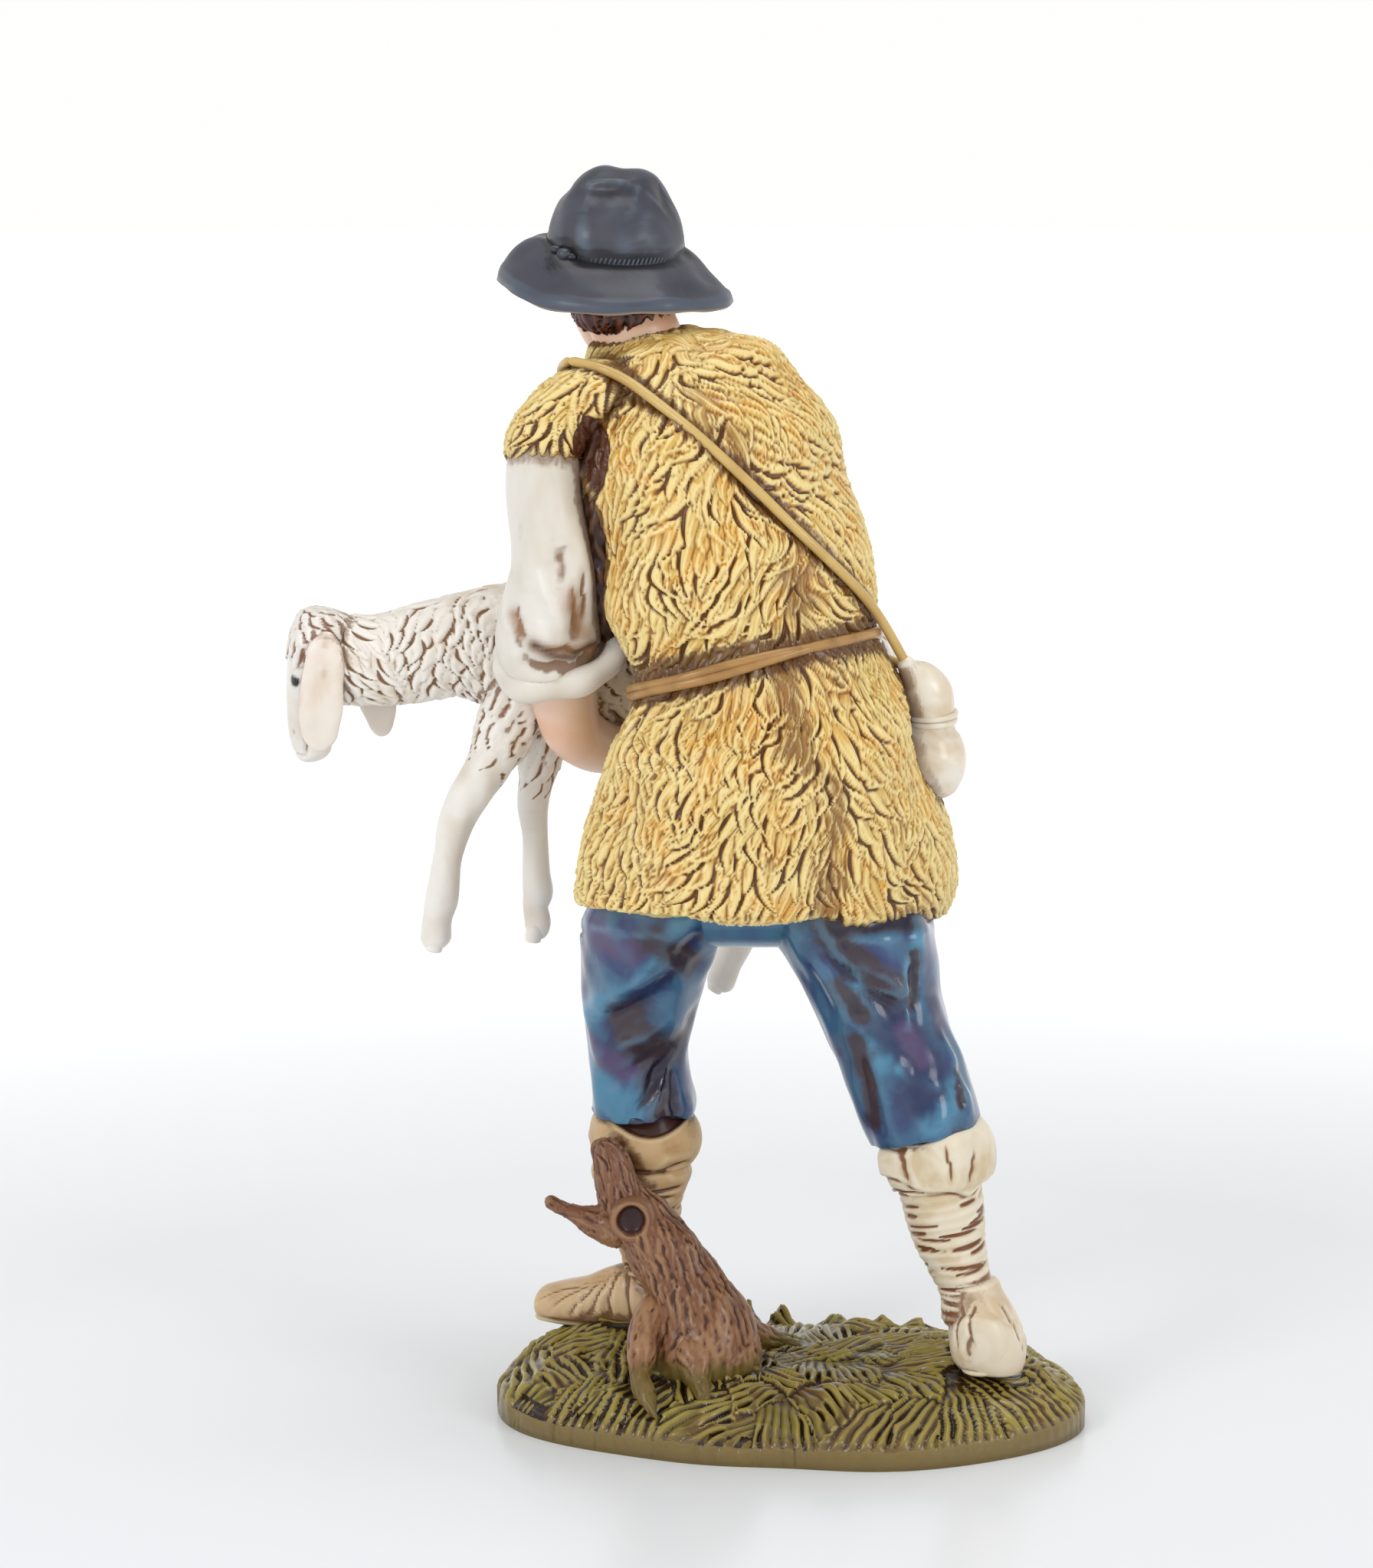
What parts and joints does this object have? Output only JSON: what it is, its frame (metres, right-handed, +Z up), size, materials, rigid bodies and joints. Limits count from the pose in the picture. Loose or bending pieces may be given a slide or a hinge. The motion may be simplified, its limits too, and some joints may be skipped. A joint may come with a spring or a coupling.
{
  "type": "nativity shepherd figurine",
  "caption": "Cast and hand-painted nativity shepherd in a felt hat and fleece jerkin, carrying a sheep across his chest, on a grassy oval base with a tree stump.",
  "frame": {"origin": "on the base's flat underside, at the middle of its length and depth", "axes": "+Z up, +X along the base's long side, the shepherd faces -Y"},
  "size_m": [0.1931, 0.1275, 0.2998],
  "materials": {
    "painted_resin": "hand-painted satin resin with brown antiquing in the grooves"
  },
  "bodies": {
    "root": {"shepherd_figurine": "painted_resin"}
  },
  "joints": []
}
